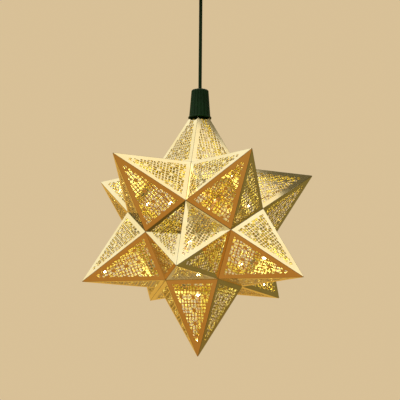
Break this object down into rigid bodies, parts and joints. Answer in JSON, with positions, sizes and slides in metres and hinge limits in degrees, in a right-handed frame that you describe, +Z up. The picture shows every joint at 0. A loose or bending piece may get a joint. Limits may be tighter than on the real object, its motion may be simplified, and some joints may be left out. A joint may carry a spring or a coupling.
{
  "type": "moravian star pendant",
  "caption": "Hanging star light: hollow pierced sheet spikes on a dodecahedron, lit from inside, on a straight cord with a fluted cap and a ceiling rose.",
  "frame": {"origin": "on the ceiling, at the middle of the ceiling strap's top face, straight above the star", "axes": "+Z up along the cord; the strap's length and its two screw holes lie along X; one lower spike points towards -Y"},
  "size_m": [0.254, 0.267, 0.469],
  "materials": {
    "gold_sheet": "mirror-polished gold-coloured sheet",
    "plain_brass": "turned brass",
    "green_moulding": "dark green moulded plastic, satin",
    "green_cord": "dark green extruded cord cover",
    "white_moulding": "off-white moulded plastic",
    "spring_steel": "bright spring steel",
    "zinc_steel": "zinc-plated steel",
    "copper_wire": "enamelled copper",
    "light_bead": "clear resin bead, lit warm white"
  },
  "bodies": {
    "ceiling": {"ceiling_strap": "zinc_steel", "cord_clamp": "white_moulding", "terminal_block": "white_moulding", "cord": "green_cord", "cord_stop": "spring_steel"},
    "rose": {"ceiling_rose": "green_moulding", "cord_grip": "green_moulding", "grip_nut": "zinc_steel", "grub_screw": "zinc_steel"},
    "star": {"top_spike": "gold_sheet", "upper_spike_1": "gold_sheet", "upper_spike_2": "gold_sheet", "upper_spike_3": "gold_sheet", "upper_spike_4": "gold_sheet", "upper_spike_5": "gold_sheet", "lower_spike_1": "gold_sheet", "lower_spike_2": "gold_sheet", "lower_spike_3": "gold_sheet", "lower_spike_4": "gold_sheet", "lower_spike_5": "gold_sheet", "bottom_spike": "gold_sheet", "seam_clips": "spring_steel", "hanger_plug": "green_moulding", "hanger_tube": "plain_brass", "lock_nut": "plain_brass", "supply_stem": "white_moulding", "light_hub": "white_moulding", "light_wires": "copper_wire", "light_beads": "light_bead"},
    "cap": {"cord_cap": "green_moulding"}
  },
  "joints": [
    {"name": "rose_slide", "type": "slide", "parent": "ceiling", "child": "rose", "axis": [0, 0, -1], "range_m": [0, 0.045]},
    {"name": "star_turn", "type": "hinge", "parent": "ceiling", "child": "star", "pos_m": [0, 0, -0.1905], "axis": [0, 0, 1], "range_deg": [-180, 180]},
    {"name": "cap_lift", "type": "slide", "parent": "star", "child": "cap", "axis": [0, 0, 1], "range_m": [0, 0.04]}
  ]
}
